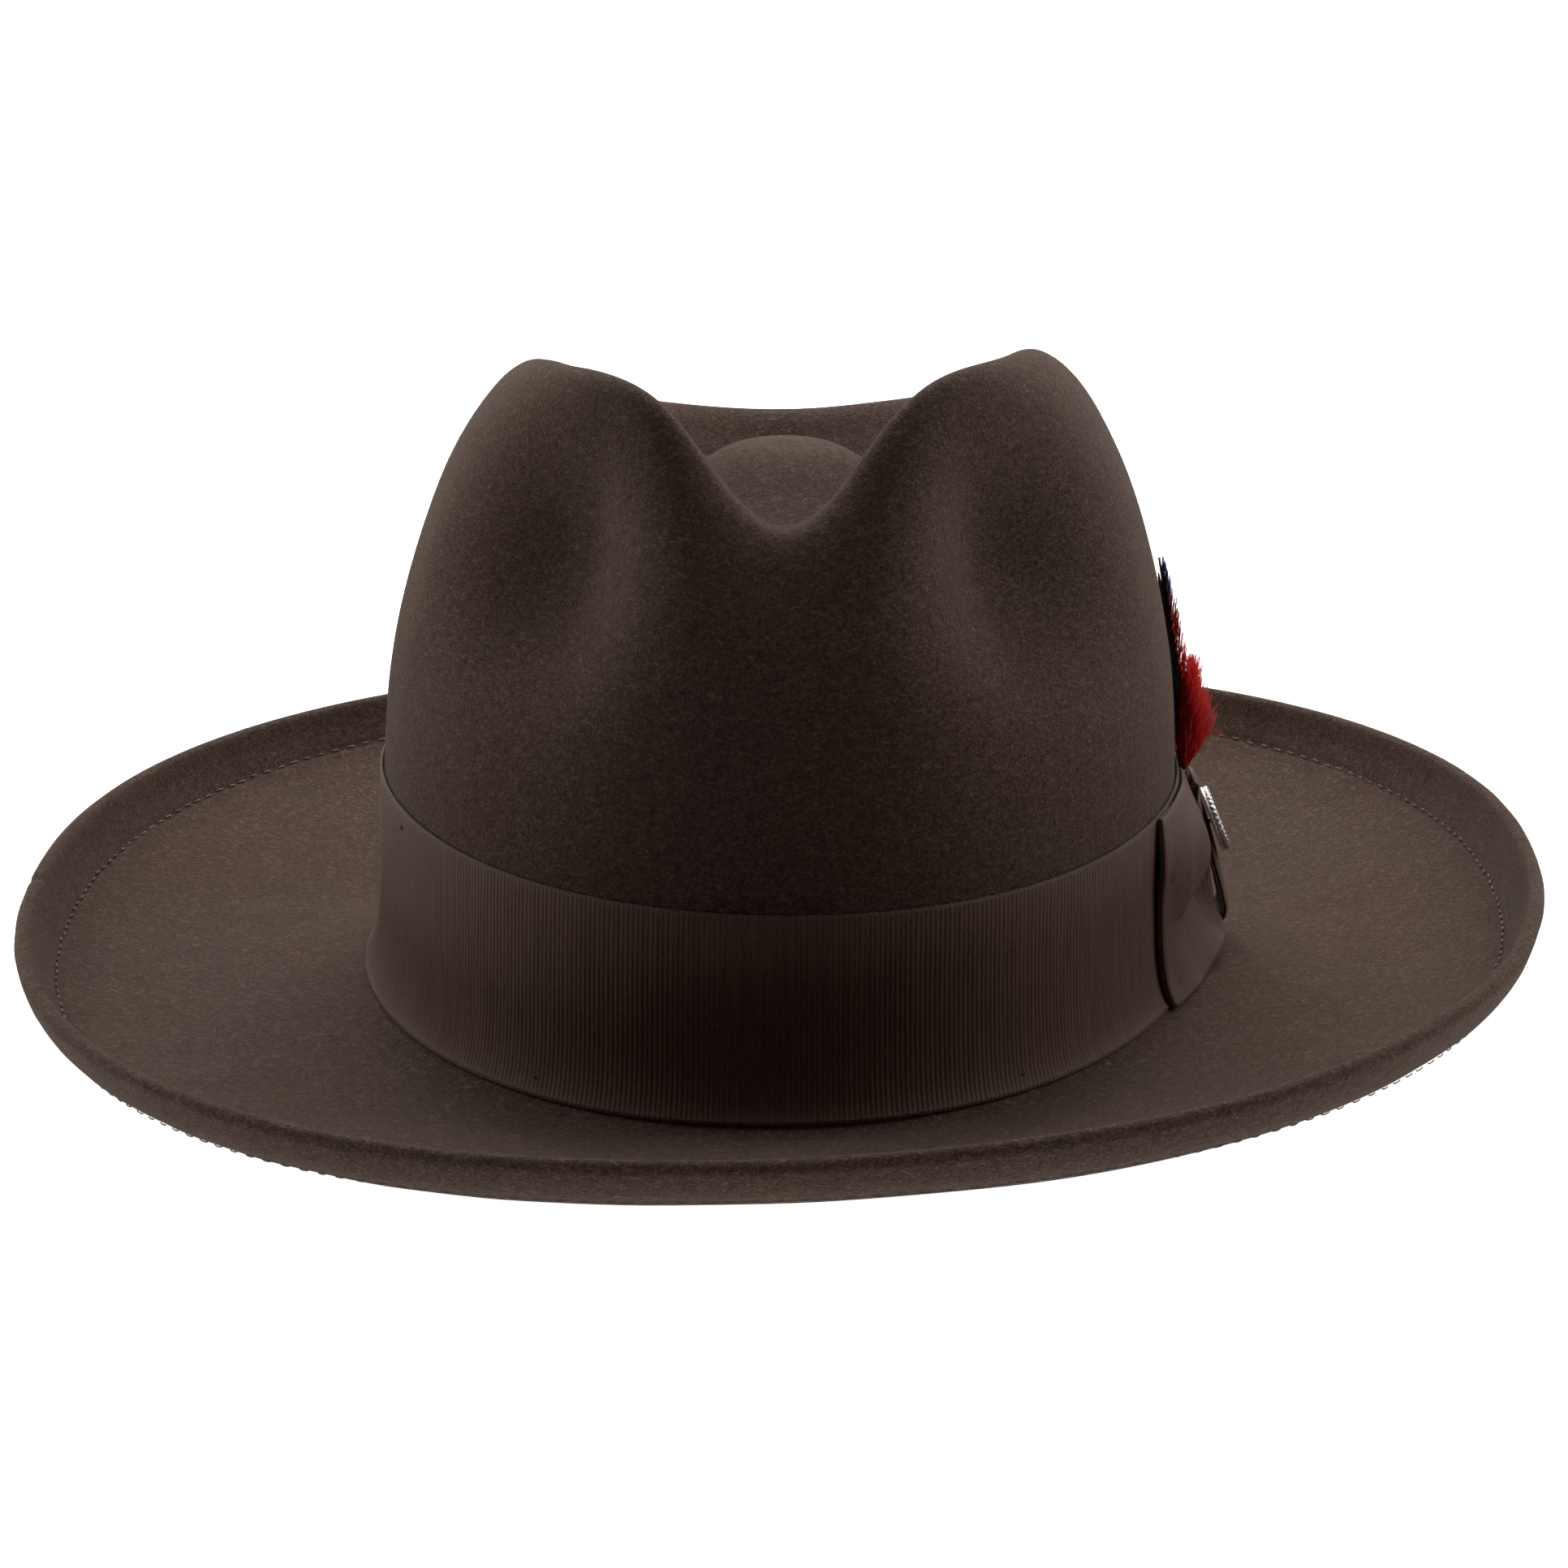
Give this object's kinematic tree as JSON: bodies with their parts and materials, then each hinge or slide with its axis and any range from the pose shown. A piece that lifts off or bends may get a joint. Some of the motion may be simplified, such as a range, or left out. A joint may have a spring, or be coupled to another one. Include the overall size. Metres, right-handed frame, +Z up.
{
  "type": "fedora hat",
  "caption": "Felt fedora: teardrop pinched crown, wide turned-up underwelted brim, ribbon band with side bow, lift-out feather and pin, leather sweatband and lining.",
  "frame": {"origin": "centre of the hat's outline, on the surface the brim rests on", "axes": "+Z up through the crown, -Y towards the front of the hat, +X towards the wearer's left, the side with the bow and feather"},
  "size_m": [0.3306, 0.3592, 0.1503],
  "materials": {
    "felt": "matte fur felt",
    "welt_thread": "matte thread",
    "grosgrain": "ribbed, low sheen",
    "tack_thread": "matte thread",
    "quill": "satin",
    "vane": "soft sheen",
    "barbs": "soft sheen",
    "hackle": "fluffy",
    "binding": "matte thread",
    "pin_metal": "antique silver",
    "pin_steel": "bright",
    "sweat_leather": "smooth",
    "reed_tape": "woven tape",
    "sweat_thread": "matte thread",
    "sweat_ribbon": "satin",
    "lining": "satin",
    "lining_tip": "satin",
    "tag": "matte"
  },
  "bodies": {
    "hat": {"felt_body": "felt", "welt_stitching": "welt_thread", "ribbon_band": "grosgrain", "ribbon_tacks": "tack_thread", "bow_front_loop": "grosgrain", "bow_back_loop": "grosgrain", "bow_knot": "grosgrain", "sweatband": "sweat_leather", "sweatband_reed": "reed_tape", "sweatband_stitching": "sweat_thread", "sweatband_bow": "sweat_ribbon", "lining_side": "lining", "lining_tip": "lining_tip", "size_tag": "tag"},
    "feather": {"feather_quill": "quill", "feather_vane": "vane", "feather_barbs": "barbs", "hackle_tuft": "hackle", "feather_binding": "binding"},
    "pin": {"pin_badge": "pin_metal", "pin_post": "pin_steel"}
  },
  "joints": [
    {"name": "feather_pull", "type": "slide", "parent": "hat", "child": "feather", "axis": [0, 0, 1], "range_m": [0, 0.06]},
    {"name": "pin_pull", "type": "slide", "parent": "hat", "child": "pin", "axis": [0.9336, 0, 0.3584], "range_m": [0, 0.012]}
  ]
}
